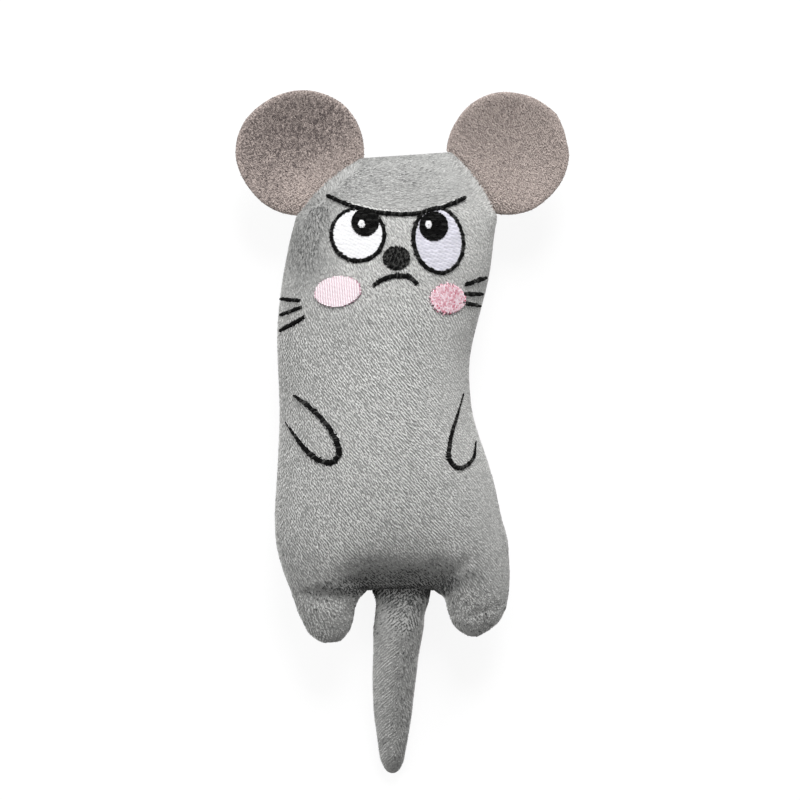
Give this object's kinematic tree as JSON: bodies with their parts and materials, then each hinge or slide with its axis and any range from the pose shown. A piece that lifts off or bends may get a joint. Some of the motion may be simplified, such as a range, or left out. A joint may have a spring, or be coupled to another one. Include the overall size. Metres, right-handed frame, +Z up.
{
  "type": "catnip mouse toy",
  "caption": "Flat stuffed plush mouse with an embroidered scowling face, round ears, stub legs and a tapered tail, filled with fibre round a catnip sachet, for a cat to chew and kick.",
  "frame": {"origin": "on the surface that the toy lies on, under the middle of its overall box", "axes": "+X to the viewer's right when facing the toy's face, +Y from the tail tip towards the ears, +Z up out of the belly; the toy lies on its back"},
  "size_m": [0.098, 0.2012, 0.0322],
  "materials": {
    "plush_grey": "short brushed pile",
    "ear_mauve": "very short brushed pile",
    "fibre_white": "loose polyester fibre",
    "thread_black": "satin-stitched thread",
    "thread_white": "satin-stitched thread",
    "thread_pink": "satin-stitched thread",
    "thread_pale_pink": "satin-stitched thread",
    "thread_grey": "sewing thread",
    "sachet_cream": "thin non-woven cloth",
    "catnip_green": "dried crushed leaf"
  },
  "bodies": {
    "body": {"front_panel": "plush_grey", "back_panel": "plush_grey", "side_seam_stitching": "thread_grey", "left_leg_stuffing": "fibre_white", "right_leg_stuffing": "fibre_white", "front_body_stuffing": "fibre_white", "back_body_stuffing": "fibre_white", "head_stuffing": "fibre_white", "sachet_front_cloth": "sachet_cream", "sachet_back_cloth": "sachet_cream", "dried_catnip": "catnip_green", "brow_stitching": "thread_black", "nose_patch": "thread_black", "mouth_stitching": "thread_black", "left_cheek_patch": "thread_pale_pink", "right_cheek_patch": "thread_pink", "left_eye_outline": "thread_black", "left_eye_white": "thread_white", "left_pupil": "thread_black", "left_eye_glint": "thread_white", "left_arm_outline": "thread_black", "left_whisker_upper": "thread_black", "left_whisker_middle": "thread_black", "left_whisker_lower": "thread_black", "right_eye_outline": "thread_black", "right_eye_white": "thread_white", "right_pupil": "thread_black", "right_eye_glint": "thread_white", "right_arm_outline": "thread_black", "right_whisker_upper": "thread_black", "right_whisker_middle": "thread_black", "right_whisker_lower": "thread_black"},
    "left_ear": {"left_ear_facing": "ear_mauve", "left_ear_back": "plush_grey"},
    "right_ear": {"right_ear_facing": "ear_mauve", "right_ear_back": "plush_grey"},
    "tail": {"tail_sleeve": "plush_grey", "tail_stuffing": "fibre_white"}
  },
  "joints": [
    {"name": "left_ear_fold", "type": "hinge", "parent": "body", "child": "left_ear", "pos_m": [-0.023, 0.07375, 0.0146], "axis": [0.7427, 0.6696, 0], "range_deg": [-80, 90], "stiffness_Nm_per_rad": 0.02},
    {"name": "right_ear_fold", "type": "hinge", "parent": "body", "child": "right_ear", "pos_m": [0.02152, 0.07436, 0.0146], "axis": [0.6018, -0.7987, 0], "range_deg": [-80, 90], "stiffness_Nm_per_rad": 0.02},
    {"name": "tail_lift", "type": "hinge", "parent": "body", "child": "tail", "pos_m": [-0.00136, -0.04744, 0.0146], "axis": [-1, 0, 0], "range_deg": [-70, 85]}
  ]
}
